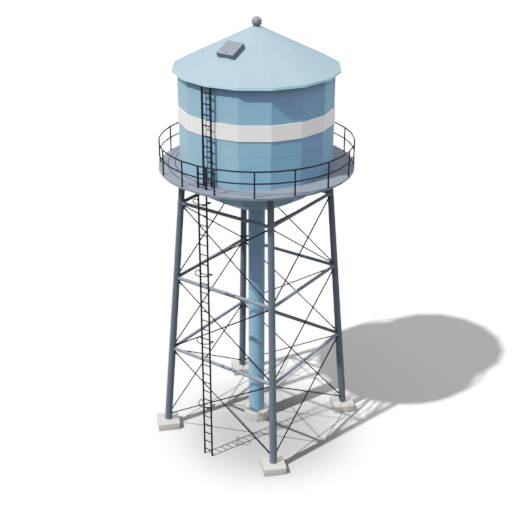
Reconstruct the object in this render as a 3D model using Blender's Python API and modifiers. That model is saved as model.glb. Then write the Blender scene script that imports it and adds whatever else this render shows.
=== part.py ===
"""Elevated steel water tank on four battered legs.

Metres, +Z up. The origin is on the tower's centre line at ground level.
One leg stands on each of the -X, -Y, +X and +Y axes: west, south, east and north.
"""
from math import atan2, cos, pi, radians, sin, sqrt

import bmesh
import bpy
from mathutils import Matrix, Vector

# Gap kept between pieces that touch
SEAT = 0.0003

# Concrete
PAD_WIDTH = 1.06
PAD_HEIGHT = 0.37
FOOTING_RADIUS = 0.62
FOOTING_HEIGHT = 0.49
FOOTING_SIDES = 12
FOOTING_TURN = radians(-10)

# Legs: centre line radius at the pad and under the deck
LEG_BASE_REACH = 4.50
LEG_TOP_REACH = 3.36
LEG_BASE_RADIUS = 0.185
LEG_TOP_RADIUS = 0.150
LEG_SIDES = 12

# Bracing
STRUT_LEVELS = {"low": 4.42, "mid": 8.20, "high": 11.96}
STRUT_RADIUS = 0.083
STRUT_SIDES = 10
ROD_RADIUS = 0.033
ROD_SIDES = 6
ROD_ROLL = radians(15)
ROD_BASE_LEVEL = 0.65
ROD_END_OFFSET = 0.06

# Riser pipe from its footing into the outlet at the lowest point of the bowl
RISER_RADIUS = 0.40
RISER_WALL = 0.02

# Tank
TANK_SIDES = 16
TANK_RADIUS = 3.47
TANK_WALL = 0.03
BOWL_RINGS = ((3.40, 13.22), (2.505, 12.495), (1.382, 11.893))
OUTLET_LEVEL = 11.75
BAND_BASE = 15.80
BAND_TOP = 16.49
BAND_PROUD = 0.03

# Roof
EAVE_RADIUS = 3.70
EAVE_BASE = 18.03
EAVE_TOP = 18.14
SOFFIT_RADIUS = 3.40
APEX = 19.93
ROOF_SHELL = 0.03
BALL_RADIUS = 0.228
BALL_LEVEL = 20.04

# Roof hatch, in its own frame: X across, Y up the slope, Z away from the roof
HATCH_REACH = 1.77
HATCH_AZIMUTH = radians(223)
CURB_HALF = (0.40, 0.39)
CURB_WALL = 0.05
CURB_HEIGHT = 0.15
CURB_ROOT = 0.30
LID_HALF = (0.44, 0.43)
LID_WALL = 0.03
LID_BASE = 0.10
LID_UNDERSIDE = 0.156
LID_TOP = 0.206
HINGE_Y = 0.46
HINGE_Z = 0.09
PIN_RADIUS = 0.0125
BORE_RADIUS = 0.0133
EAR_INNER = 0.11
EAR_OUTER = 0.14
KNUCKLE_HALF = 0.09

# Platform
DECK_TOP = 13.68
DECK_THICKNESS = 0.10
DECK_INNER = 3.30
DECK_RADIUS = 4.44
DECK_SIDES = 32
RAIL_REACH = 4.39
RAIL_HEIGHT = 1.14
MID_RAIL_HEIGHT = 0.62
RAIL_RADIUS = 0.033
MID_RAIL_RADIUS = 0.030
RAIL_SIDES = 32
POST_COUNT = 16
POST_RADIUS = 0.034

# Ladders, both in the vertical plane through the south-west azimuth
LADDER_AZIMUTH = radians(225)
LADDER_REACH = 4.03
UPPER_LADDER_REACH = 3.63
LADDER_HALF_WIDTH = 0.217
STILE = 0.065
RUNG_RADIUS = 0.030
RUNG_PITCH = 0.4676
FIRST_RUNG = 0.30
LOWER_RUNGS = 31
LADDER_TOP = 14.64
UPPER_RUNGS = 9
UPPER_FIRST_RUNG = 14.04
UPPER_RUNG_PITCH = 0.4618
HOOP_RADIUS = 0.41
HOOP_BAR = 0.027
HOOP_LEVELS = {"one": 2.95, "two": 6.34, "three": 9.73, "four": 13.12}
HOOP_OVERRUN = radians(10)
HOOP_STUB = 0.03
HOOP_SEGMENTS = 14

DECK_UNDER = DECK_TOP - DECK_THICKNESS
BOWL_RADIUS, BOWL_TOP = BOWL_RINGS[0]
BOWL_SLOPE = (BOWL_TOP - BOWL_RINGS[1][1]) / (BOWL_RADIUS - BOWL_RINGS[1][0])
BOWL_LIFT = TANK_WALL * sqrt(1 + BOWL_SLOPE ** 2)
ROOF_SLOPE = (APEX - EAVE_TOP) / EAVE_RADIUS
ROOF_ANGLE = atan2(APEX - EAVE_TOP, EAVE_RADIUS)

LEG_DIRECTIONS = {"west": (-1, 0), "south": (0, -1), "east": (1, 0), "north": (0, 1)}
SIDES = {
    "sw": ("west", "south"),
    "se": ("south", "east"),
    "ne": ("east", "north"),
    "nw": ("north", "west"),
}


def clear_scene():
    for item in list(bpy.data.objects):
        bpy.data.objects.remove(item, do_unlink=True)


def make_collection(name):
    collection = bpy.data.collections.new(name)
    bpy.context.scene.collection.children.link(collection)
    return collection


def make_material(name, color, roughness, metallic):
    material = bpy.data.materials.new(name)
    material.use_nodes = True
    shader = material.node_tree.nodes["Principled BSDF"]
    shader.inputs["Base Color"].default_value = (*color, 1.0)
    shader.inputs["Roughness"].default_value = roughness
    shader.inputs["Metallic"].default_value = metallic
    return material


def add_object(name, mesh, material=None):
    item = bpy.data.objects.new(name, mesh)
    tower.objects.link(item)
    if material:
        mesh.materials.append(material)
    return item


def as_cutter(item):
    """Move a guide shape to the cutters: it shapes other pieces and is not one itself."""
    tower.objects.unlink(item)
    cutters.objects.link(item)
    item.hide_render = True
    item.display_type = "WIRE"
    return item


def mesh_from(bm, name):
    mesh = bpy.data.meshes.new(name)
    bm.to_mesh(mesh)
    bm.free()
    return mesh


def box_into(bm, low, high):
    """Add a box given by two opposite corners."""
    low, high = Vector(low), Vector(high)
    size = high - low
    matrix = Matrix.Translation((low + high) / 2) @ Matrix.Diagonal((*size, 1.0))
    bmesh.ops.create_cube(bm, size=1.0, matrix=matrix)


def rod_into(bm, start, end, radius, sides, roll=0.0):
    """Add a round bar from start to end, rolled about its own axis."""
    start, end = Vector(start), Vector(end)
    along = end - start
    turn = along.to_track_quat("Z", "Y").to_matrix().to_4x4() @ Matrix.Rotation(roll, 4, "Z")
    bmesh.ops.create_cone(
        bm,
        cap_ends=True,
        segments=sides,
        radius1=radius,
        radius2=radius,
        depth=along.length,
        matrix=Matrix.Translation((start + end) / 2) @ turn,
    )


def box_object(name, low, high, material=None):
    bm = bmesh.new()
    box_into(bm, low, high)
    return add_object(name, mesh_from(bm, name), material)


def turned_object(name, profile, sides, material=None, closed=True):
    """Turn a profile of (radius, height) points, listed down the outer side, about +Z."""
    points = [(radius, 0.0, height) for radius, height in profile]
    edges = [(i, i + 1) for i in range(len(points) - 1)]
    if closed:
        edges.append((len(points) - 1, 0))
    mesh = bpy.data.meshes.new(name)
    mesh.from_pydata(points, edges, [])
    item = add_object(name, mesh, material)
    screw = item.modifiers.new("turn", "SCREW")
    screw.axis = "Z"
    screw.angle = 2 * pi
    screw.steps = sides
    screw.render_steps = sides
    screw.use_merge_vertices = True
    screw.merge_threshold = 0.0001
    screw.use_smooth_shade = False
    return item


def boolean(item, operation, other):
    modifier = item.modifiers.new(operation.lower(), "BOOLEAN")
    modifier.operation = operation
    modifier.solver = "EXACT"
    modifier.object = other


def leg_mesh(name, direction, extra):
    """A tapered round leg whose rings stay level while it leans in towards the top."""
    height = DECK_UNDER - SEAT - PAD_HEIGHT
    bm = bmesh.new()
    bmesh.ops.create_cone(
        bm,
        cap_ends=True,
        segments=LEG_SIDES,
        radius1=LEG_BASE_RADIUS + extra,
        radius2=LEG_TOP_RADIUS + extra,
        depth=height,
        matrix=Matrix.Translation((0, 0, height / 2)),
    )
    lean = (LEG_TOP_REACH - LEG_BASE_REACH) / height
    shear = Matrix.Identity(4)
    shear[0][2] = lean * direction[0]
    shear[1][2] = lean * direction[1]
    bmesh.ops.transform(bm, matrix=shear, verts=bm.verts)
    return mesh_from(bm, name)


def leg_point(leg, level):
    """The point of a leg's centre line at a height."""
    share = (level - PAD_HEIGHT) / (DECK_UNDER - PAD_HEIGHT)
    reach = LEG_BASE_REACH + (LEG_TOP_REACH - LEG_BASE_REACH) * share
    dx, dy = LEG_DIRECTIONS[leg]
    return Vector((dx * reach, dy * reach, level))


def make_pads_and_legs():
    half = PAD_WIDTH / 2
    for leg, (dx, dy) in LEG_DIRECTIONS.items():
        x, y = dx * LEG_BASE_REACH, dy * LEG_BASE_REACH
        pad = box_object("pad_" + leg, (-half, -half, 0), (half, half, PAD_HEIGHT), concrete)
        pad.location = (x, y, 0)
        column = add_object("leg_" + leg, leg_mesh("leg_" + leg, (dx, dy), 0.0), grey_steel)
        column.location = (x, y, PAD_HEIGHT + SEAT)
        boolean(column, "DIFFERENCE", bottom_cutter)
        cutter = add_object("cut_leg_" + leg, leg_mesh("cut_leg_" + leg, (dx, dy), SEAT))
        cutter.location = column.location
        leg_cutters[leg] = as_cutter(cutter)


def make_struts():
    for level_name, level in STRUT_LEVELS.items():
        for side, (first, second) in SIDES.items():
            bm = bmesh.new()
            rod_into(bm, leg_point(first, level), leg_point(second, level),
                     STRUT_RADIUS, STRUT_SIDES)
            name = "strut_" + level_name + "_" + side
            strut = add_object(name, mesh_from(bm, name), grey_steel)
            boolean(strut, "DIFFERENCE", leg_cutters[first])
            boolean(strut, "DIFFERENCE", leg_cutters[second])


def make_rods():
    """Crossed tie rods in each bay, joined where they cross."""
    levels = [ROD_BASE_LEVEL - ROD_END_OFFSET] + list(STRUT_LEVELS.values())
    for bay, bay_name in enumerate(STRUT_LEVELS):
        low = levels[bay] + ROD_END_OFFSET
        high = levels[bay + 1] - ROD_END_OFFSET
        for side, (first, second) in SIDES.items():
            name = "rods_" + bay_name + "_" + side
            bm = bmesh.new()
            rod_into(bm, leg_point(first, low), leg_point(second, high), ROD_RADIUS, ROD_SIDES)
            pair = add_object(name, mesh_from(bm, name), black_steel)
            bm = bmesh.new()
            rod_into(bm, leg_point(second, low), leg_point(first, high), ROD_RADIUS, ROD_SIDES,
                     roll=ROD_ROLL)
            other = as_cutter(add_object("join_" + name, mesh_from(bm, "join_" + name)))
            boolean(pair, "UNION", other)
            boolean(pair, "DIFFERENCE", leg_cutters[first])
            boolean(pair, "DIFFERENCE", leg_cutters[second])


def bowl_outline():
    """The closed outline of the tank's underside, for shaping the tops of the legs."""
    return [(0.0, DECK_TOP), (BOWL_RADIUS + SEAT, DECK_TOP)] \
        + [(radius + SEAT, level - SEAT) for radius, level in BOWL_RINGS] \
        + [(0.0, OUTLET_LEVEL - SEAT)]


def bowl_profile():
    """The tank's bowl: sloping rings down to the outlet, with a level seat for the rim."""
    bore = RISER_RADIUS + SEAT
    inner_radius = BOWL_RADIUS - TANK_WALL
    inner_rings = [(radius, level + BOWL_LIFT) for radius, level in reversed(BOWL_RINGS[1:])]
    return [(BOWL_RADIUS, BOWL_TOP + BOWL_LIFT)] \
        + list(BOWL_RINGS) \
        + [(bore, OUTLET_LEVEL), (bore, OUTLET_LEVEL + BOWL_LIFT)] \
        + inner_rings \
        + [(inner_radius, BOWL_TOP + BOWL_LIFT - TANK_WALL * BOWL_SLOPE),
           (inner_radius, BOWL_TOP + BOWL_LIFT)]


def make_riser():
    footing = turned_object("riser_footing",
                            [(0.0, FOOTING_HEIGHT), (FOOTING_RADIUS, FOOTING_HEIGHT),
                             (FOOTING_RADIUS, 0.0), (0.0, 0.0)],
                            FOOTING_SIDES, concrete, closed=False)
    footing.rotation_euler = (0, 0, FOOTING_TURN)
    top = OUTLET_LEVEL + BOWL_LIFT
    base = FOOTING_HEIGHT + SEAT
    inner = RISER_RADIUS - RISER_WALL
    turned_object("riser_pipe",
                  [(RISER_RADIUS, top), (RISER_RADIUS, base), (inner, base), (inner, top)],
                  TANK_SIDES, blue_steel)


def make_tank():
    turned_object("tank_bottom", bowl_profile(), TANK_SIDES, teal_steel)
    rim_base, rim_top = BOWL_TOP + BOWL_LIFT + SEAT, DECK_UNDER - SEAT
    turned_object("tank_rim",
                  [(BOWL_RADIUS, rim_top), (BOWL_RADIUS, rim_base),
                   (BOWL_RADIUS - TANK_WALL, rim_base), (BOWL_RADIUS - TANK_WALL, rim_top)],
                  TANK_SIDES, teal_steel)
    wall_base, wall_top = DECK_TOP + SEAT, EAVE_BASE - SEAT
    turned_object("tank_wall",
                  [(TANK_RADIUS, wall_top), (TANK_RADIUS, wall_base),
                   (TANK_RADIUS - TANK_WALL, wall_base), (TANK_RADIUS - TANK_WALL, wall_top)],
                  TANK_SIDES, blue_steel)
    inside = TANK_RADIUS + SEAT
    outside = TANK_RADIUS + BAND_PROUD
    turned_object("white_band",
                  [(outside, BAND_TOP), (outside, BAND_BASE),
                   (inside, BAND_BASE), (inside, BAND_TOP)],
                  TANK_SIDES, white_paint)


def make_roof():
    shell_rise = ROOF_SHELL / cos(ROOF_ANGLE)
    under_soffit = EAVE_TOP + (EAVE_RADIUS - SOFFIT_RADIUS) * ROOF_SLOPE - shell_rise
    roof = turned_object("roof",
                         [(0.0, APEX), (EAVE_RADIUS, EAVE_TOP), (EAVE_RADIUS, EAVE_BASE),
                          (SOFFIT_RADIUS, EAVE_BASE), (SOFFIT_RADIUS, under_soffit),
                          (0.0, APEX - shell_rise)],
                         TANK_SIDES, pale_steel, closed=False)
    hole = (CURB_HALF[0] - CURB_WALL, CURB_HALF[1] - CURB_WALL)
    hole_cutter = box_object("cut_hatch_hole", (-hole[0], -hole[1], -0.5), (hole[0], hole[1], 0.5))
    hole_cutter.parent = hatch_frame
    boolean(roof, "DIFFERENCE", as_cutter(hole_cutter))

    lift = SEAT / cos(ROOF_ANGLE)
    roof_solid = turned_object("cut_roof_solid",
                               [(0.0, APEX + lift), (EAVE_RADIUS, EAVE_TOP + lift),
                                (EAVE_RADIUS, EAVE_BASE), (0.0, EAVE_BASE)],
                               TANK_SIDES, closed=False)
    as_cutter(roof_solid)

    bm = bmesh.new()
    bmesh.ops.create_uvsphere(bm, u_segments=12, v_segments=8, radius=BALL_RADIUS)
    ball = add_object("finial_ball", mesh_from(bm, "finial_ball"), grey_steel)
    ball.location = (0, 0, BALL_LEVEL)
    boolean(ball, "DIFFERENCE", roof_solid)
    make_hatch(roof_solid)


def make_hatch(roof_solid):
    """A curb with two hinge ears and a pin, and a lid that opens up the slope."""
    outer_x, outer_y = CURB_HALF
    curb = box_object("hatch_curb", (-outer_x, -outer_y, -CURB_ROOT),
                      (outer_x, outer_y, CURB_HEIGHT), grey_steel)
    curb.parent = hatch_frame
    inner = box_object("cut_curb", (CURB_WALL - outer_x, CURB_WALL - outer_y, -CURB_ROOT - 0.1),
                       (outer_x - CURB_WALL, outer_y - CURB_WALL, CURB_HEIGHT + 0.1))
    inner.parent = hatch_frame
    boolean(curb, "DIFFERENCE", as_cutter(inner))
    ear_reach = HINGE_Y + 2 * PIN_RADIUS
    for side in (-1, 1):
        near, far = sorted((side * EAR_INNER, side * EAR_OUTER))
        label = "left" if side < 0 else "right"
        arm = box_object("join_arm_" + label, (near, outer_y - 0.01, HINGE_Z - 0.04),
                         (far, ear_reach, HINGE_Z))
        ear = box_object("join_ear_" + label, (near + 0.001, LID_HALF[1] + 0.01, HINGE_Z - 0.03),
                         (far - 0.001, ear_reach - 0.001, HINGE_Z + 0.02))
        for piece in (arm, ear):
            piece.parent = hatch_frame
            boolean(curb, "UNION", as_cutter(piece))
    bm = bmesh.new()
    middle = (EAR_INNER + EAR_OUTER) / 2
    rod_into(bm, (-middle, HINGE_Y, HINGE_Z), (middle, HINGE_Y, HINGE_Z), PIN_RADIUS, 16)
    pin = as_cutter(add_object("join_pin", mesh_from(bm, "join_pin")))
    pin.parent = hatch_frame
    boolean(curb, "UNION", pin)
    boolean(curb, "DIFFERENCE", roof_solid)

    hinge = bpy.data.objects.new("hatch_hinge", None)
    tower.objects.link(hinge)
    hinge.parent = hatch_frame
    hinge.location = (0, HINGE_Y, HINGE_Z)
    lid_x, lid_y = LID_HALF
    lid = box_object("hatch_lid", (-lid_x, -lid_y - HINGE_Y, LID_BASE - HINGE_Z),
                     (lid_x, lid_y - HINGE_Y, LID_TOP - HINGE_Z), grey_steel)
    hollow = box_object("cut_lid",
                        (LID_WALL - lid_x, LID_WALL - lid_y - HINGE_Y, -HINGE_Z),
                        (lid_x - LID_WALL, lid_y - LID_WALL - HINGE_Y,
                         LID_UNDERSIDE - HINGE_Z))
    knuckle = box_object("join_knuckle", (-KNUCKLE_HALF, lid_y - 0.01 - HINGE_Y, -0.024),
                         (KNUCKLE_HALF, 0.024, 0.040))
    bm = bmesh.new()
    rod_into(bm, (-1, 0, 0), (1, 0, 0), BORE_RADIUS, 24)
    bore = add_object("cut_bore", mesh_from(bm, "cut_bore"))
    for piece in (lid, hollow, knuckle, bore):
        piece.parent = hinge
    boolean(lid, "DIFFERENCE", as_cutter(hollow))
    boolean(lid, "UNION", as_cutter(knuckle))
    boolean(lid, "DIFFERENCE", as_cutter(bore))


def make_platform():
    deck = turned_object("platform_deck",
                         [(DECK_RADIUS, DECK_TOP), (DECK_RADIUS, DECK_UNDER),
                          (DECK_INNER, DECK_UNDER), (DECK_INNER, DECK_TOP)],
                         DECK_SIDES, grey_steel)
    bm = bmesh.new()
    half = STILE / 2 + SEAT
    for side in (-1, 1):
        across = side * LADDER_HALF_WIDTH
        box_into(bm, (across - half, LADDER_REACH - half, DECK_UNDER - 1),
                 (across + half, LADDER_REACH + half, DECK_TOP + 1))
    stile_cutter = add_object("cut_stile_holes", mesh_from(bm, "cut_stile_holes"))
    stile_cutter.rotation_euler = (0, 0, LADDER_AZIMUTH - pi / 2)
    boolean(deck, "DIFFERENCE", as_cutter(stile_cutter))

    bm = bmesh.new()
    for post in range(POST_COUNT):
        azimuth = (post + 0.5) * 2 * pi / POST_COUNT
        foot = Vector((RAIL_REACH * cos(azimuth), RAIL_REACH * sin(azimuth), DECK_TOP + SEAT))
        rod_into(bm, foot, foot + Vector((0, 0, RAIL_HEIGHT)), POST_RADIUS, 8)
    railing = add_object("railing", mesh_from(bm, "railing"), black_steel)
    for label, height, radius in (("top", RAIL_HEIGHT, RAIL_RADIUS),
                                  ("mid", MID_RAIL_HEIGHT, MID_RAIL_RADIUS)):
        bpy.ops.mesh.primitive_torus_add(
            major_segments=RAIL_SIDES, minor_segments=6, major_radius=RAIL_REACH,
            minor_radius=radius, location=(0, 0, DECK_TOP + height))
        rail = bpy.context.object
        rail.name = "join_rail_" + label
        for collection in list(rail.users_collection):
            collection.objects.unlink(rail)
        tower.objects.link(rail)
        boolean(railing, "UNION", as_cutter(rail))


def ladder_object(name, reach, base, top, rung_levels):
    """Two stiles with round rungs, modelled facing +Y and then turned to its azimuth."""
    half = STILE / 2
    bm = bmesh.new()
    for side in (-1, 1):
        across = side * LADDER_HALF_WIDTH
        box_into(bm, (across - half, reach - half, base), (across + half, reach + half, top))
    ladder = add_object(name, mesh_from(bm, name), black_steel)
    bm = bmesh.new()
    for level in rung_levels:
        rod_into(bm, (-LADDER_HALF_WIDTH, reach, level), (LADDER_HALF_WIDTH, reach, level),
                 RUNG_RADIUS, 6)
    rungs = add_object("join_rungs_" + name, mesh_from(bm, "join_rungs_" + name))
    for item in (ladder, rungs):
        item.rotation_euler = (0, 0, LADDER_AZIMUTH - pi / 2)
    boolean(ladder, "UNION", as_cutter(rungs))


def make_hoop(name, level):
    """A safety hoop: a bar from one stile, round a half circle outward, to the other stile."""
    stile_face = LADDER_HALF_WIDTH + STILE / 2 + SEAT
    points = [(stile_face, 0.0), (stile_face + HOOP_STUB, 0.0)]
    for step in range(HOOP_SEGMENTS + 1):
        angle = -HOOP_OVERRUN + (pi + 2 * HOOP_OVERRUN) * step / HOOP_SEGMENTS
        points.append((HOOP_RADIUS * cos(angle), HOOP_RADIUS * sin(angle)))
    points += [(-stile_face - HOOP_STUB, 0.0), (-stile_face, 0.0)]
    curve = bpy.data.curves.new("hoop", "CURVE")
    curve.dimensions = "3D"
    curve.bevel_depth = HOOP_BAR
    curve.bevel_resolution = 1
    curve.use_fill_caps = True
    spline = curve.splines.new("POLY")
    spline.points.add(len(points) - 1)
    for target, (across, outward) in zip(spline.points, points):
        target.co = (across, LADDER_REACH + outward, level, 1.0)
    bent = bpy.data.objects.new("hoop_curve", curve)
    tower.objects.link(bent)
    bent.rotation_euler = (0, 0, LADDER_AZIMUTH - pi / 2)
    bpy.context.view_layer.update()
    evaluated = bent.evaluated_get(bpy.context.evaluated_depsgraph_get())
    mesh = bpy.data.meshes.new_from_object(evaluated)
    bm = bmesh.new()
    bm.from_mesh(mesh)
    bmesh.ops.remove_doubles(bm, verts=bm.verts, dist=0.0001)
    bm.to_mesh(mesh)
    bm.free()
    hoop = add_object(name, mesh, black_steel)
    hoop.matrix_world = bent.matrix_world.copy()
    bpy.data.objects.remove(bent, do_unlink=True)


def make_ladders():
    ladder_object("lower_ladder", LADDER_REACH, 0.0, LADDER_TOP,
                  [FIRST_RUNG + i * RUNG_PITCH for i in range(LOWER_RUNGS)])
    for name, level in HOOP_LEVELS.items():
        make_hoop("safety_hoop_" + name, level)
    ladder_object("upper_ladder", UPPER_LADDER_REACH, DECK_TOP + SEAT, EAVE_BASE - SEAT,
                  [UPPER_FIRST_RUNG + i * UPPER_RUNG_PITCH for i in range(UPPER_RUNGS)])


clear_scene()
tower = make_collection("water_tower")
cutters = make_collection("cutters")

concrete = make_material("cast concrete", (0.71, 0.69, 0.65), 0.9, 0.0)
grey_steel = make_material("grey painted steel", (0.16, 0.19, 0.25), 0.5, 0.0)
black_steel = make_material("black painted steel", (0.012, 0.012, 0.014), 0.5, 0.0)
blue_steel = make_material("blue painted steel", (0.22, 0.40, 0.52), 0.5, 0.0)
pale_steel = make_material("pale blue painted steel", (0.52, 0.69, 0.76), 0.5, 0.0)
teal_steel = make_material("teal painted steel", (0.10, 0.17, 0.22), 0.5, 0.0)
white_paint = make_material("white paint", (0.78, 0.77, 0.75), 0.5, 0.0)

hatch_frame = bpy.data.objects.new("hatch_frame", None)
tower.objects.link(hatch_frame)
hatch_frame.location = (HATCH_REACH * cos(HATCH_AZIMUTH), HATCH_REACH * sin(HATCH_AZIMUTH),
                        APEX - HATCH_REACH * ROOF_SLOPE)
hatch_frame.rotation_euler = (ROOF_ANGLE, 0, HATCH_AZIMUTH + pi / 2)

bottom_cutter = as_cutter(turned_object("cut_bottom_solid", bowl_outline(),
                                        TANK_SIDES, closed=False))
leg_cutters = {}

make_pads_and_legs()
make_struts()
make_rods()
make_riser()
make_tank()
make_roof()
make_platform()
make_ladders()
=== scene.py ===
import math

import bpy
import numpy as np
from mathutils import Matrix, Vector


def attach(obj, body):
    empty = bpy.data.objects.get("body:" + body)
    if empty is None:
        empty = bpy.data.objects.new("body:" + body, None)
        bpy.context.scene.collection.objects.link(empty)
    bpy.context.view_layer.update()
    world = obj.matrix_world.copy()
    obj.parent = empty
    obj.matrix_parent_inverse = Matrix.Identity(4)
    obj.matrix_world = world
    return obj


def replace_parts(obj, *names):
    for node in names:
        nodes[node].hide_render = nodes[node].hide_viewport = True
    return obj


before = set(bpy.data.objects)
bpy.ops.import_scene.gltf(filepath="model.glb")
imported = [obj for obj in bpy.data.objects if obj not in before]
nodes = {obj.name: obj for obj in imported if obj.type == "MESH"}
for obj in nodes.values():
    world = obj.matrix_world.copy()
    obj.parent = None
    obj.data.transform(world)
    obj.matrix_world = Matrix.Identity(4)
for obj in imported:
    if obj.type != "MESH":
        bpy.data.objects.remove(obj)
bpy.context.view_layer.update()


view = {
    "azimuth": -10.023,            # degrees, 0 looks along +Y
    "elevation": 25.007,
    "distance": 47.313,
    "aim": (-0.0305, 0.0054, 9.0),
    "lens": 70.28,                 # mm on a 36 mm sensor
}


def makeCamera():
    a, e = math.radians(view["azimuth"]), math.radians(view["elevation"])
    back = Vector((math.sin(a) * math.cos(e), -math.cos(a) * math.cos(e), math.sin(e)))
    camera = bpy.data.objects.new("camera", bpy.data.cameras.new("camera"))
    bpy.context.scene.collection.objects.link(camera)
    camera.location = Vector(view["aim"]) + back * view["distance"]
    camera.rotation_euler = back.to_track_quat("Z", "Y").to_euler()
    camera.data.sensor_width = 36
    camera.data.lens = view["lens"]
    camera.data.clip_end = 1000
    bpy.context.scene.camera = camera


light = {
    "sunAzimuth": 24.73,           # degrees from +X, where the light travels to
    "sunHeight": 54.88,
    "sunSize": 1.2,                # degrees across, a fairly crisp shadow
    "sunPower": 2.55,
    "overhead": 1.155,             # the sky's brightness straight above
    "horizon": 0.174,
    "below": 0.169,
    "floorPower": 5.4,             # a second sun for the floor alone keeps it white
}

# scene light against picture light, both linear: a soft shoulder and deeper shadows
toneCurve = [(0.0, 0.0), (0.01, 0.0089), (0.02, 0.0182), (0.035, 0.0335), (0.06, 0.0656),
             (0.09, 0.106), (0.13, 0.152), (0.18, 0.245), (0.25, 0.364), (0.35, 0.491),
             (0.5, 0.62), (0.7, 0.757), (1.0, 1.0)]


def linear(hexColour):
    # sRGB hex to linear light
    value = np.array([int(hexColour[i:i + 2], 16) for i in (1, 3, 5)]) / 255
    value = np.where(value <= 0.04045, value / 12.92, ((value + 0.055) / 1.055) ** 2.4)
    return (*value.tolist(), 1.0)


def addNode(tree, kind, settings=None, links=None):
    # settings are inputs by name or number, or the node's own options; links join outputs to inputs
    node = tree.nodes.new(kind)
    for key, value in (settings or {}).items():
        if isinstance(key, int) or key in node.inputs:
            node.inputs[key].default_value = value
        else:
            setattr(node, key, value)
    for key, output in (links or {}).items():
        tree.links.new(output, node.inputs[key])
    return node


def makeSun(name, power, only=None):
    a, e = math.radians(light["sunAzimuth"]), math.radians(light["sunHeight"])
    travel = Vector((math.cos(a) * math.cos(e), math.sin(a) * math.cos(e), -math.sin(e)))
    sun = bpy.data.objects.new(name, bpy.data.lights.new(name, "SUN"))
    bpy.context.scene.collection.objects.link(sun)
    sun.rotation_euler = (-travel).to_track_quat("Z", "Y").to_euler()
    sun.location = -travel * 60
    sun.data.energy = power
    sun.data.angle = math.radians(light["sunSize"])
    if only:
        lit = bpy.data.collections.new(name + "_receiver")
        lit.objects.link(only)
        sun.light_linking.receiver_collection = lit


def makeSky():
    world = bpy.data.worlds.new("studio")
    world.use_nodes = True
    tree = world.node_tree
    direction = addNode(tree, "ShaderNodeTexCoord").outputs["Generated"]
    height = addNode(tree, "ShaderNodeSeparateXYZ", links={"Vector": direction}).outputs["Z"]
    power = addNode(tree, "ShaderNodeMapRange",
                    {"To Min": light["horizon"], "To Max": light["overhead"]}, {"Value": height})
    upper = addNode(tree, "ShaderNodeMath", {"operation": "GREATER_THAN", 1: 0.0}, {0: height})
    both = addNode(tree, "ShaderNodeMix", {"A": light["below"]},
                   {"Factor": upper.outputs[0], "B": power.outputs["Result"]})
    seen = addNode(tree, "ShaderNodeLightPath").outputs["Is Camera Ray"]
    shown = addNode(tree, "ShaderNodeMix", {"B": 1.0},
                    {"Factor": seen, "A": both.outputs["Result"]})     # a white room behind
    tree.links.new(shown.outputs["Result"], tree.nodes["Background"].inputs["Strength"])
    tree.nodes["Background"].inputs["Color"].default_value = linear("#FFFFFF")
    bpy.context.scene.world = world


def setTone():
    settings = bpy.context.scene.view_settings
    settings.view_transform = "Standard"
    settings.use_curve_mapping = True
    curve = settings.curve_mapping.curves[3]
    curve.points[0].location = toneCurve[0]
    curve.points[1].location = toneCurve[-1]
    for x, y in toneCurve[1:-1]:
        curve.points.new(x, y)
    settings.curve_mapping.update()


def gridFaces(rows, cols, closeRows, closeCols, copies=1):
    # four-sided faces between neighbouring points of a rows by cols grid, once for each copy
    i = np.arange(rows if closeRows else rows - 1)
    j = np.arange(cols if closeCols else cols - 1)
    i, j = np.meshgrid(i, j, indexing="ij")
    down, across = (i + 1) % rows, (j + 1) % cols
    quads = np.stack([i * cols + j, i * cols + across, down * cols + across, down * cols + j], -1)
    shift = rows * cols * np.arange(copies)[:, None, None]
    return (quads.reshape(1, -1, 4) + shift).reshape(-1, 4)


def surface(name, points, kind, closeRows=False, closeCols=True, body="tower", smooth=35):
    # points is copies by rows by cols by 3; open rows get a flat cap at both ends
    copies, rows, cols = points.shape[:3]
    quads = gridFaces(rows, cols, closeRows, closeCols, copies)
    flat = points.reshape(-1, 3)
    a, b, c, d = (flat[quads[:, k]] for k in range(4))
    first = np.arange(cols)
    caps = []
    if not closeRows:
        base = rows * cols * np.arange(copies)[:, None]
        caps = (base + first[::-1]).tolist() + (base + (rows - 1) * cols + first).tolist()
    middle = flat.mean(0)
    volume = (np.einsum("ij,ij->i", a - middle, np.cross(b - middle, c - middle)).sum()
              + np.einsum("ij,ij->i", a - middle, np.cross(c - middle, d - middle)).sum())
    for cap in caps:
        ring = flat[cap] - middle
        volume += np.einsum("ij,ij->i", np.broadcast_to(ring[0], ring[1:-1].shape),
                            np.cross(ring[1:-1], ring[2:])).sum()
    faces = quads.tolist() + caps
    if volume < 0:
        faces = [face[::-1] for face in faces]
    mesh = bpy.data.meshes.new(name)
    mesh.from_pydata(flat.tolist(), [], faces)
    mesh.materials.append(finish[kind])
    mesh.update()
    mesh.shade_smooth()
    mesh.set_sharp_from_angle(angle=math.radians(smooth))
    piece = bpy.data.objects.new(name, mesh)
    bpy.context.scene.collection.objects.link(piece)
    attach(piece, body)
    return piece


def unit(vectors):
    return vectors / np.linalg.norm(vectors, axis=-1, keepdims=True)


def crossAxes(along):
    # two directions square to each axis: one level, one square to both
    level = np.cross(along, np.array([0.0, 0.0, 1.0]))
    short = np.linalg.norm(level, axis=-1, keepdims=True) < 1e-6
    level = unit(np.where(short, np.array([1.0, 0.0, 0.0]), level))
    return level, np.cross(level, along)


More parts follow.
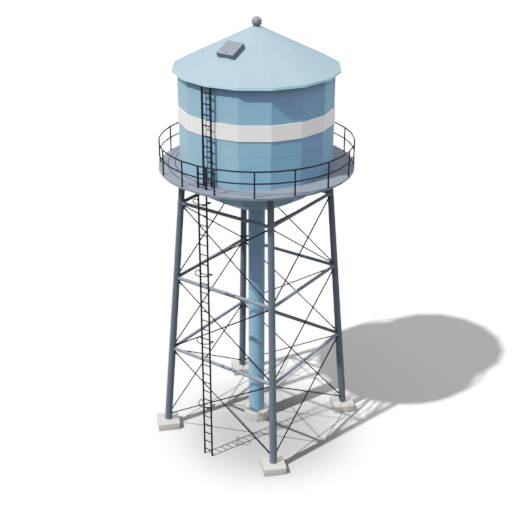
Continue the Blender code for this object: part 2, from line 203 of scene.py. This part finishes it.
def turnedRows(centres, axes, profile, sides):
    # point = centre + height * axis + radius * (cos(angle) * first + sin(angle) * second)
    centres, axes = np.atleast_2d(centres), unit(np.atleast_2d(axes))
    first, second = crossAxes(axes)
    angle = np.arange(sides) * 2 * np.pi / sides
    ring = (np.cos(angle)[None, :, None] * first[:, None]
            + np.sin(angle)[None, :, None] * second[:, None])
    profile = np.array(profile)
    return (centres[:, None, None] + profile[None, :, 1, None, None] * axes[:, None, None]
            + profile[None, :, 0, None, None] * ring[:, None])


print("camera and light")
makeCamera()
makeSun("sun", light["sunPower"])
makeSky()
setTone()


def paintedSteel(name, colour, wear, roughness=0.5, streak=0.05, grain=0.0006, tread=0.0):
    # brushed-on enamel over plate: a skin of faint orange peel, faded in broad patches,
    # with thin rain streaks down the walls
    material = bpy.data.materials.new(name)
    material.use_nodes = True
    tree = material.node_tree
    shader = tree.nodes["Principled BSDF"]
    place = addNode(tree, "ShaderNodeTexCoord").outputs["Object"]
    fade = addNode(tree, "ShaderNodeTexNoise", {"Scale": 0.7, "Detail": 4.0, "Roughness": 0.55},
                   {"Vector": place})                          # patches 1.4 m across
    tall = addNode(tree, "ShaderNodeMapping", {"Scale": (9.0, 9.0, 0.35)}, {"Vector": place})
    rain = addNode(tree, "ShaderNodeTexNoise", {"Scale": 1.0, "Detail": 3.0, "Roughness": 0.6},
                   {"Vector": tall.outputs["Vector"]})         # streaks 110 mm wide, 3 m long
    peel = addNode(tree, "ShaderNodeTexNoise", {"Scale": 40.0, "Detail": 2.0, "Roughness": 0.5},
                   {"Vector": place})                          # 25 mm, coarser than real, to show
    faded = addNode(tree, "ShaderNodeMix", {"data_type": "RGBA"})
    spread = addNode(tree, "ShaderNodeMapRange", {"From Min": 0.35, "From Max": 0.65},
                     {"Value": fade.outputs["Fac"]})
    faded.inputs[6].default_value = linear(colour)
    faded.inputs[7].default_value = linear(wear)
    tree.links.new(spread.outputs["Result"], faded.inputs[0])
    share = addNode(tree, "ShaderNodeMapRange",
                    {"From Min": 0.55, "From Max": 0.8, "To Min": 0.0, "To Max": streak},
                    {"Value": rain.outputs["Fac"]})
    washed = addNode(tree, "ShaderNodeMix", {"data_type": "RGBA"})
    washed.inputs[7].default_value = linear("#3A3A38")
    tree.links.new(share.outputs["Result"], washed.inputs[0])
    tree.links.new(faded.outputs[2], washed.inputs[6])
    tree.links.new(washed.outputs[2], shader.inputs["Base Color"])
    gloss = addNode(tree, "ShaderNodeMapRange",
                    {"From Min": 0.3, "From Max": 0.7,
                     "To Min": roughness - 0.06, "To Max": roughness + 0.08},
                    {"Value": peel.outputs["Fac"]})
    tree.links.new(gloss.outputs["Result"], shader.inputs["Roughness"])
    bump = addNode(tree, "ShaderNodeBump", {"Strength": 0.5, "Distance": grain},
                   {"Height": peel.outputs["Fac"]})
    if tread:
        # raised bars 50 mm apart, turned a quarter from one square to the next
        squares = addNode(tree, "ShaderNodeTexChecker", {"Scale": 20.0}, {"Vector": place})
        barsX = addNode(tree, "ShaderNodeTexWave", {"Scale": 6.3, "bands_direction": "X"},
                        {"Vector": place})
        barsY = addNode(tree, "ShaderNodeTexWave", {"Scale": 6.3, "bands_direction": "Y"},
                        {"Vector": place})
        bars = addNode(tree, "ShaderNodeMix", {},
                       {"Factor": squares.outputs["Fac"], "A": barsX.outputs["Fac"],
                        "B": barsY.outputs["Fac"]})
        bump = addNode(tree, "ShaderNodeBump", {"Strength": 0.6, "Distance": tread},
                       {"Height": bars.outputs["Result"], "Normal": bump.outputs["Normal"]})
    tree.links.new(bump.outputs["Normal"], shader.inputs["Normal"])
    shader.inputs["Specular IOR Level"].default_value = 0.25
    return material


def castConcrete(name, colour, stain):
    # concrete struck from board forms: pale, dry, pitted, with darker damp patches
    material = bpy.data.materials.new(name)
    material.use_nodes = True
    tree = material.node_tree
    shader = tree.nodes["Principled BSDF"]
    place = addNode(tree, "ShaderNodeTexCoord").outputs["Object"]
    cloud = addNode(tree, "ShaderNodeTexNoise", {"Scale": 3.0, "Detail": 6.0, "Roughness": 0.65},
                    {"Vector": place})
    stone = addNode(tree, "ShaderNodeTexVoronoi", {"Scale": 45.0}, {"Vector": place})  # 22 mm
    sand = addNode(tree, "ShaderNodeTexNoise", {"Scale": 160.0, "Detail": 3.0},
                   {"Vector": place})                          # 6 mm grit
    spread = addNode(tree, "ShaderNodeMapRange",
                     {"From Min": 0.35, "From Max": 0.7, "To Max": 0.55},
                     {"Value": cloud.outputs["Fac"]})
    mixed = addNode(tree, "ShaderNodeMix", {"data_type": "RGBA"})
    mixed.inputs[6].default_value = linear(colour)
    mixed.inputs[7].default_value = linear(stain)
    tree.links.new(spread.outputs["Result"], mixed.inputs[0])
    upright = addNode(tree, "ShaderNodeMapping", {"Scale": (26.0, 26.0, 0.8)}, {"Vector": place})
    board = addNode(tree, "ShaderNodeTexNoise", {"Scale": 1.0, "Detail": 2.0},
                    {"Vector": upright.outputs["Vector"]})      # board marks 40 mm wide
    marks = addNode(tree, "ShaderNodeMapRange", {"From Min": 0.42, "From Max": 0.6, "To Max": 0.4},
                    {"Value": board.outputs["Fac"]})
    formed = addNode(tree, "ShaderNodeMix", {"data_type": "RGBA"})
    formed.inputs[7].default_value = linear("#A39C91")
    tree.links.new(marks.outputs["Result"], formed.inputs[0])
    tree.links.new(mixed.outputs[2], formed.inputs[6])
    speck = addNode(tree, "ShaderNodeMapRange",
                    {"From Min": 0.0, "From Max": 0.25, "To Min": 0.16, "To Max": 0.0},
                    {"Value": stone.outputs["Distance"]})
    flecked = addNode(tree, "ShaderNodeMix", {"data_type": "RGBA"})
    flecked.inputs[7].default_value = linear("#8F8A80")
    tree.links.new(speck.outputs["Result"], flecked.inputs[0])
    tree.links.new(formed.outputs[2], flecked.inputs[6])
    tree.links.new(flecked.outputs[2], shader.inputs["Base Color"])
    shader.inputs["Roughness"].default_value = 0.92
    shader.inputs["Specular IOR Level"].default_value = 0.2
    bump = addNode(tree, "ShaderNodeBump", {"Strength": 0.6, "Distance": 0.002},
                   {"Height": sand.outputs["Fac"]})
    tree.links.new(bump.outputs["Normal"], shader.inputs["Normal"])
    return material


finish = {
    "tank": paintedSteel("blue enamel on steel plate", "#86A7BF", "#8BABC2"),
    "roof": paintedSteel("pale blue enamel on steel plate", "#86A6B6", "#8AAAB8", streak=0.03),
    "eave": paintedSteel("pale blue enamel on folded edge strip", "#AFD6EA", "#B2D8EB", streak=0.02),
    "bowl": paintedSteel("slate blue enamel on steel plate", "#7CA2BB", "#81A7BD"),
    "frame": paintedSteel("grey enamel on steel section", "#787F8A", "#7D828D"),
    "ball": paintedSteel("grey enamel on pressed steel ball", "#787C84", "#7D8188"),
    "hatch": paintedSteel("grey enamel on folded steel sheet", "#6F757F", "#747983"),
    "leg": paintedSteel("dark grey enamel on steel tube", "#656E79", "#69717C"),
    "band": paintedSteel("white enamel on steel plate", "#EEEEED", "#F2F1F0", streak=0.03),
    "tread": paintedSteel("grey enamel on chequer plate", "#7B828D", "#808590", tread=0.004),
    "black": paintedSteel("black enamel on steel bar", "#1B1B1E", "#232326", roughness=0.45),
    "concrete": castConcrete("cast concrete", "#CBC7C2", "#BDB9B2"),
}
nodeFinish = {
    "pad": "concrete", "riser_footing": "concrete", "riser_pipe": "tank", "leg": "leg",
    "strut": "frame", "rods": "black", "tank_bottom": "bowl", "tank_rim": "bowl",
    "tank_wall": "tank", "white_band": "band", "roof": "roof", "hatch": "hatch",
    "finial": "frame", "platform": "tread", "railing": "black", "lower_ladder": "black",
    "upper_ladder": "black", "safety": "black",
}
for nodeName, node in nodes.items():
    kind = next(value for key, value in nodeFinish.items() if nodeName.startswith(key))
    node.data.materials.clear()
    node.data.materials.append(finish[kind])
print("finishes on", len(nodes), "nodes")


def ringBeads(name, rings, bead, kind, sides=16):
    # a weld carried round flat-sided rings: at each corner the point lies at
    # radius + bead * cos(b) from the tower's axis, at height level + bead * sin(b)
    rings = np.array(rings, float)
    a = (np.arange(sides) * 2 * np.pi / sides)[None, :, None]
    b = (np.arange(6) * 2 * np.pi / 6)[None, None, :]
    reach = rings[:, 0, None, None] + bead * np.cos(b) + 0 * a
    level = rings[:, 1, None, None] + bead * np.sin(b) + 0 * a
    surface(name, np.stack([reach * np.cos(a), reach * np.sin(a), level], -1), kind,
            closeRows=True)


def barBetween(name, starts, ends, radii, kind, sides=6):
    # point = start + share * (end - start) + radius(share) * (cos(a) * first + sin(a) * second)
    starts, ends = np.atleast_2d(starts), np.atleast_2d(ends)
    share = np.array([row[0] for row in radii])[None, :, None, None]
    radius = np.array([row[1] for row in radii])[None, :, None, None]
    first, second = crossAxes(unit(ends - starts))
    a = (np.arange(sides) * 2 * np.pi / sides)[None, None, :, None]
    ring = np.cos(a) * first[:, None, None] + np.sin(a) * second[:, None, None]
    points = starts[:, None, None] + share * (ends - starts)[:, None, None] + radius * ring
    surface(name, points, kind)


def beadAlong(name, path, normals, bead, kind, closed=True, sides=6, body="tower"):
    # point = path + bead * (cos(b) * normal + sin(b) * (along x normal)), along each path
    along = np.roll(path, -1, 1) - np.roll(path, 1, 1) if closed else np.gradient(path, axis=1)
    side = unit(np.cross(along, normals))
    b = (np.arange(sides) * 2 * np.pi / sides)[None, None, :, None]
    points = path[:, :, None] + bead * (np.cos(b) * normals[:, :, None]
                                        + np.sin(b) * side[:, :, None])
    surface(name, points, kind, closeRows=closed, body=body)


def polar(radius, azimuth, level):
    return np.stack(np.broadcast_arrays(radius * np.cos(azimuth), radius * np.sin(azimuth),
                                        level), -1)


pad = {
    "half": 0.53, "height": 0.37, "reach": 4.5,
    "corner": 0.022,               # rounding of the upright edges
    "arris": 0.012,                # rounding of the top and bottom edges
}
footing = {"radius": 0.62, "height": 0.49, "sides": 12, "turn": math.radians(-10)}
legDirections = {"west": (-1, 0), "south": (0, -1), "east": (1, 0), "north": (0, 1)}


def edgeSteps(height, arris):
    # how far in and how high each row of a block lies, with a quarter round at both edges
    q = np.linspace(0, np.pi / 2, 5)
    inset = arris * np.concatenate([1 - np.sin(q), 1 - np.cos(q)])
    level = np.concatenate([arris * (1 - np.cos(q)), height - arris * (1 - np.sin(q))])
    return inset, level


def makePads():
    # corner centre + (corner radius - inset) * (cos(a), sin(a)) in four quarter turns
    inset, level = edgeSteps(pad["height"], pad["arris"])
    a = np.concatenate([k * np.pi / 2 + np.linspace(0, np.pi / 2, 6) for k in range(4)])
    k = np.repeat(np.arange(4), 6) * np.pi / 2 + np.pi / 4
    core = (pad["half"] - pad["corner"]) * math.sqrt(2)
    radius = pad["corner"] - inset[:, None]
    for leg, (dx, dy) in legDirections.items():
        x = dx * pad["reach"] + core * np.cos(k) + radius * np.cos(a)
        y = dy * pad["reach"] + core * np.sin(k) + radius * np.sin(a)
        points = np.stack([x, y, level[:, None] + 0 * x], -1)
        block = surface("pad_block_" + leg, points[None], "concrete", smooth=50)
        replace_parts(block, "pad_" + leg)
    inset, level = edgeSteps(footing["height"], pad["arris"])
    a = footing["turn"] + np.arange(footing["sides"]) * 2 * np.pi / footing["sides"]
    points = polar(footing["radius"] - inset[:, None], a[None], level[:, None])
    block = surface("footing_block", points[None], "concrete", smooth=25)
    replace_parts(block, "riser_footing")


makePads()
print("pads and footing")


tank = {
    "radius": 3.47, "base": 13.69, "top": 18.02,
    "courses": (15.13, 16.58),     # level seams between the plate courses
    "bandBase": 15.79, "bead": 0.007,
    "bowl": ((3.40, 13.22), (2.505, 12.495), (1.382, 11.893), (0.42, 11.75)),
    "riser": 0.40, "riserSeams": (2.74, 4.99, 7.24, 9.49), "riserBead": 0.008,
    "outletLevel": 11.745, "outletOut": 0.012, "outletBead": 0.016,
}
roof = {
    "apex": 19.93, "slope": 1.79 / 3.70, "crown": 0.17, "eave": 3.685, "rib": 0.005,
    "hatchGap": (1.22, 2.32),      # the seam under the hatch stops short of it
    "edge": 3.70, "edgeLow": 18.028, "edgeHigh": 18.142, "stripHalf": 0.006,
}
ball = {
    "radius": 0.228, "middle": 20.04, "plates": 14, "rings": 9,
    "pole": 0.001,                 # angle left open at each pole for the small flat cap
    "weldReach": 0.142, "weldLevel": 19.864, "weldBead": 0.010,
}


def makeTankSeams():
    # beads along the tank's sixteen corners, bowl corner i at polar(ring radius, i * 22.5 degrees);
    # the upright seams of each course stand half a plate round from those of the next
    corners = np.arange(16) * np.pi / 8
    low, high = tank["courses"]
    ringBeads("wall_ring_welds", [(tank["radius"], z) for z in tank["courses"]],
              tank["bead"], "tank")
    even, odd = corners[0::2], corners[1::2]
    a = np.concatenate([even, odd, even])
    base = np.repeat([tank["base"], low, high], 8)
    top = np.repeat([low, tank["bandBase"], tank["top"]], 8)
    straight = [(0, tank["bead"]), (1, tank["bead"])]
    barBetween("wall_upright_welds", polar(tank["radius"], a, base), polar(tank["radius"], a, top),
               straight, "tank")
    bowl = np.array(tank["bowl"])
    ringBeads("bowl_ring_welds", bowl[1:3], tank["bead"], "bowl")
    starts = np.concatenate([polar(r, corners, z) for r, z in bowl[:-1]])
    ends = np.concatenate([polar(r, corners, z) for r, z in bowl[1:]])
    barBetween("bowl_plate_welds", starts, ends, straight, "bowl")
    ringBeads("riser_outlet_weld", [(tank["riser"] + tank["outletOut"], tank["outletLevel"])],
              tank["outletBead"], "bowl")
    ringBeads("riser_ring_welds", [(tank["riser"], z) for z in tank["riserSeams"]],
              tank["riserBead"], "tank")


def makeBall():
    # a sphere of flat plates: radius * sin(b) round the axis, radius * cos(b) over the middle
    b = np.linspace(ball["pole"], np.pi - ball["pole"], ball["rings"])[:, None]
    a = (np.arange(ball["plates"]) * 2 * np.pi / ball["plates"])[None]
    points = polar(ball["radius"] * np.sin(b), a, ball["middle"] + ball["radius"] * np.cos(b))
    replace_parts(surface("ball_plates", points[None], "ball", smooth=5), "finial_ball")


def makeEaveStrip():
    # a flat strip carried round the roof's edge: points at edge +- half its thickness, low and high
    a = (np.arange(16) * np.pi / 8)[None, :, None]
    reach = roof["edge"] + roof["stripHalf"] * np.array([1, 1, -1, -1])
    level = np.array([roof["edgeLow"], roof["edgeHigh"], roof["edgeHigh"], roof["edgeLow"]]) + 0 * a
    surface("eave_strip", np.stack([reach * np.cos(a), reach * np.sin(a), level], -1), "eave",
            closeRows=True, smooth=15)


def makeRoofSeams():
    # each seam lies on a ridge, at height apex - slope * reach; the one under the hatch is two
    ridges, underHatch = 16, 10
    a = np.append(np.arange(ridges), underHatch) * np.pi / 8
    inner = np.full(ridges + 1, roof["crown"])
    outer = np.full(ridges + 1, roof["eave"])
    outer[underHatch], inner[ridges] = roof["hatchGap"]
    barBetween("roof_ridge_welds",
               polar(inner, a, roof["apex"] - roof["slope"] * inner),
               polar(outer, a, roof["apex"] - roof["slope"] * outer),
               [(0, 0.6 * roof["rib"]), (0.02, roof["rib"]), (1, roof["rib"])], "roof")
    ringBeads("ball_weld", [(ball["weldReach"], ball["weldLevel"])], ball["weldBead"], "frame",
              sides=12)


makeTankSeams()
makeRoofSeams()
makeBall()
makeEaveStrip()
print("tank and roof seams, ball and eave strip")


frameSize = {
    "padTop": 0.37, "legTop": 13.58, "footReach": 4.50, "headReach": 3.36,
    "footRadius": 0.185, "headRadius": 0.150,
    "strutLevels": (4.42, 8.20, 11.96), "strutRadius": 0.083,
    "rodLevels": (0.59, 4.42, 8.20, 11.96), "rodOffset": 0.06, "rodRadius": 0.033,
    "socketFrom": 0.17, "socketTo": 0.42, "socketWall": 0.010,
    "weld": 0.013,
}
pairs = (("west", "south"), ("south", "east"), ("east", "north"), ("north", "west"))


def legShare(level):
    return (level - frameSize["padTop"]) / (frameSize["legTop"] - frameSize["padTop"])


def legPoint(leg, level):
    reach = frameSize["footReach"] \
        + (frameSize["headReach"] - frameSize["footReach"]) * legShare(level)
    dx, dy = legDirections[leg]
    return np.array([dx * reach, dy * reach, level])


def makeStrutWelds():
    # where a strut meets its leg: start + radius * (cos(f) * first + sin(f) * second) + t * along,
    # with t solved so that the point lies one leg radius from the leg's own centre line
    ends = [(here, there, level) for level in frameSize["strutLevels"] for pair in pairs
            for here, there in (pair, pair[::-1])]
    start = np.array([legPoint(here, level) for here, there, level in ends])
    along = unit(np.array([legPoint(there, level) for here, there, level in ends]) - start)
    lean = unit(np.array([legPoint(here, level + 1) for here, there, level in ends]) - start)
    legRadius = np.array([frameSize["footRadius"] + (frameSize["headRadius"]
                          - frameSize["footRadius"]) * legShare(level) for _, _, level in ends])
    first, second = crossAxes(along)
    f = (np.arange(20) * np.pi / 10)[None, :, None]
    ring = frameSize["strutRadius"] * (np.cos(f) * first[:, None] + np.sin(f) * second[:, None])
    lean = lean[:, None]
    flatRing = ring - (ring * lean).sum(-1, keepdims=True) * lean
    flatAlong = along[:, None] - (along[:, None] * lean).sum(-1, keepdims=True) * lean
    half = (flatRing * flatAlong).sum(-1)
    square = (flatAlong ** 2).sum(-1)
    rest = (flatRing ** 2).sum(-1) - legRadius[:, None] ** 2
    t = (-half + np.sqrt(half ** 2 - square * rest)) / square
    path = start[:, None] + ring + t[..., None] * along[:, None]
    normals = unit(flatRing + t[..., None] * flatAlong)
    beadAlong("strut_welds", path, normals, frameSize["weld"], "frame")


def makeRodEnds():
    # a forged socket at each end of each tie rod, 250 mm long and tapering onto the rod
    starts, ends = [], []
    levels = frameSize["rodLevels"]
    for bay in range(3):
        low, high = levels[bay] + frameSize["rodOffset"], levels[bay + 1] - frameSize["rodOffset"]
        for first, second in pairs:
            for here, there in ((first, second), (second, first)):
                starts += [legPoint(here, low), legPoint(there, high)]
                ends += [legPoint(there, high), legPoint(here, low)]
    starts, ends = np.array(starts), np.array(ends)
    along = unit(ends - starts)
    r, wall = frameSize["rodRadius"], frameSize["socketWall"]
    barBetween("rod_sockets", starts + frameSize["socketFrom"] * along,
               starts + frameSize["socketTo"] * along,
               [(0, r + wall), (0.75, r + wall), (0.95, r + 0.3 * wall), (1, r - 0.1 * wall)],
               "black", sides=8)


grout = {"spread": 0.035, "rise": 0.030, "sink": 0.001}


def makeGroutCollars():
    # a mortar fillet turned round each leg's foot and the riser's: radius + spread * out and
    # rise * up, with out and up stepping along a hollow curve from the pad up to the steel
    steps = np.array([(1, 0), (0.72, 0.25), (0.35, 0.6), (0.12, 0.9), (-0.15, 1)])
    for name, centres, radius, sides in (
            ("leg_grout", [legPoint(leg, frameSize["padTop"] - grout["sink"])
                           for leg in legDirections], frameSize["footRadius"], 24),
            ("riser_grout", [(0.0, 0.0, footing["height"] - grout["sink"])], tank["riser"], 32)):
        centres = np.array(centres, float)
        profile = np.stack([radius + grout["spread"] * steps[:, 0], grout["rise"] * steps[:, 1]], -1)
        surface(name, turnedRows(centres, np.array([0, 0, 1.0]) + 0 * centres, profile, sides),
                "concrete")


makeStrutWelds()
makeRodEnds()
makeGroutCollars()
print("welds, rod ends and grout")


railing = {
    "reach": 4.39, "posts": 16, "deckTop": 13.68,
    "footRadius": 0.048, "footThick": 0.012, "footSink": 0.001,
    "sleeve": 0.038, "sleeveRise": 0.030,
}


def makePostFeet():
    # a flange with a sloping top and a sleeve, turned round each post: its profile is
    # (radius, height) from the deck up, with the flange's edge eased by 5 mm
    a = (np.arange(railing["posts"]) + 0.5) * 2 * np.pi / railing["posts"]
    seats = polar(railing["reach"], a, railing["deckTop"] - railing["footSink"])
    r, h = railing["footRadius"], railing["footThick"]
    sleeve = railing["sleeve"]
    foot = [(r, 0), (r, h), (r - 0.005, h + 0.004), (sleeve, h + 0.006),
            (sleeve, h + railing["sleeveRise"])]
    surface("post_feet", turnedRows(seats, np.array([0, 0, 1.0]) + 0 * seats, foot, 12), "black")


hatch = {
    "azimuth": math.radians(223), "reach": 1.77, "lidTop": 0.206,
    "apronHalf": (0.437, 0.427), "apronSkin": 0.012, "apronLow": -0.01, "apronHigh": 0.094,
    "gripHalf": 0.08, "gripDown": -0.30, "gripRise": 0.028, "gripBar": 0.006,
    "gripBend": 0.014, "gripSink": 0.004,
}


def hatchPlace(x, y, z):
    # across the slope, up the slope and away from the roof, from the hatch's own middle
    a, tilt = hatch["azimuth"], math.atan(roof["slope"])
    out = np.array([math.cos(a), math.sin(a), 0.0])
    across = np.array([-math.sin(a), math.cos(a), 0.0])
    up = -out * math.cos(tilt) + np.array([0, 0, math.sin(tilt)])
    away = out * math.sin(tilt) + np.array([0, 0, math.cos(tilt)])
    middle = out * hatch["reach"] + np.array([0, 0, roof["apex"] - roof["slope"] * hatch["reach"]])
    x, y, z = (np.asarray(value, float)[..., None] for value in (x, y, z))
    return middle + x * across + y * up + z * away


def makeHatchApron():
    # folded sheet round three sides of the curb: at each corner of a U, the point lies
    # at half size + skin * (0 or -1) across and down the slope, at the low or the high edge
    halfX, halfY = hatch["apronHalf"]
    skin, low, high = hatch["apronSkin"], hatch["apronLow"], hatch["apronHigh"]
    inward = np.array([0, 0, -skin, -skin])
    x = np.array([-1, -1, 1, 1])[:, None] * (halfX + inward)
    y = np.stack([halfY + 0 * inward, -halfY - inward, -halfY - inward, halfY + 0 * inward])
    z = np.array([low, high, high, low]) + 0 * x
    surface("hatch_apron", hatchPlace(x, y, z)[None], "hatch", smooth=20)


def makeHatchGrip():
    # a bent bar: up from the lid, round a quarter turn of radius bend, across, and down again
    half, rise, bend = hatch["gripHalf"], hatch["gripRise"], hatch["gripBend"]
    sink = hatch["gripSink"]
    q = np.linspace(0, np.pi / 2, 6)
    x = np.concatenate([[-half], -half + bend * (1 - np.cos(q)),
                        half - bend * (1 - np.sin(q)), [half]])
    z = hatch["lidTop"] + np.concatenate([[-sink], rise - bend * (1 - np.sin(q)),
                                          rise - bend * (1 - np.cos(q)), [-sink]])
    path = hatchPlace(x, hatch["gripDown"] + 0 * x, z)[None]
    side = (hatchPlace(0, 1, 0) - hatchPlace(0, 0, 0)) + 0 * path
    beadAlong("hatch_grip", path, side, hatch["gripBar"], "hatch", closed=False, sides=10,
              body="hatch")


makePostFeet()
makeHatchApron()
makeHatchGrip()
print("railing feet, hatch apron and grip")


floorLook = {
    "half": 260.0,                 # metres, past the camera's horizon
    "pale": "#A2A2A2",
    "shade": "#757575",            # painted soft shade between the legs, a contact shadow drawn into the floor's colour
    "shadeCentre": (0.3, -1.2, 0.0), "shadeFrom": 1.5, "shadeTo": 5.7,
}


def makeFloor():
    across = np.linspace(-floorLook["half"], floorLook["half"], 3)
    x, y = np.meshgrid(across, across, indexing="ij")
    mesh = bpy.data.meshes.new("floor")
    mesh.from_pydata(np.stack([x, y, 0 * x], -1).reshape(-1, 3).tolist(), [],
                     gridFaces(3, 3, False, False)[:, ::-1].tolist())
    material = bpy.data.materials.new("matt white floor with painted shade")
    material.use_nodes = True
    tree = material.node_tree
    shader = tree.nodes["Principled BSDF"]
    place = addNode(tree, "ShaderNodeTexCoord").outputs["Object"]
    shift = tuple(-value for value in floorLook["shadeCentre"])
    centred = addNode(tree, "ShaderNodeMapping", {"Location": shift}, {"Vector": place})
    reach = addNode(tree, "ShaderNodeVectorMath", {"operation": "LENGTH"},
                    {0: centred.outputs["Vector"]})
    # the floor's colour darkens towards shadeCentre: painted shade standing in for the tower's soft
    # contact shadow
    share = addNode(tree, "ShaderNodeMapRange",
                    {"interpolation_type": "SMOOTHSTEP", "From Min": floorLook["shadeFrom"],
                     "From Max": floorLook["shadeTo"]},
                    {"Value": reach.outputs["Value"]})
    shade = addNode(tree, "ShaderNodeMix", {"data_type": "RGBA"})
    shade.inputs[6].default_value = linear(floorLook["shade"])
    shade.inputs[7].default_value = linear(floorLook["pale"])
    tree.links.new(share.outputs["Result"], shade.inputs[0])
    tree.links.new(shade.outputs[2], shader.inputs["Base Color"])
    shader.inputs["Roughness"].default_value = 1.0
    shader.inputs["Specular IOR Level"].default_value = 0.0
    mesh.materials.append(material)
    floor = bpy.data.objects.new("floor", mesh)
    bpy.context.scene.collection.objects.link(floor)
    floor.visible_diffuse = False      # the studio lights the tower from below, not the floor
    makeSun("floor_sun", light["floorPower"], only=floor)


makeFloor()
print("floor")
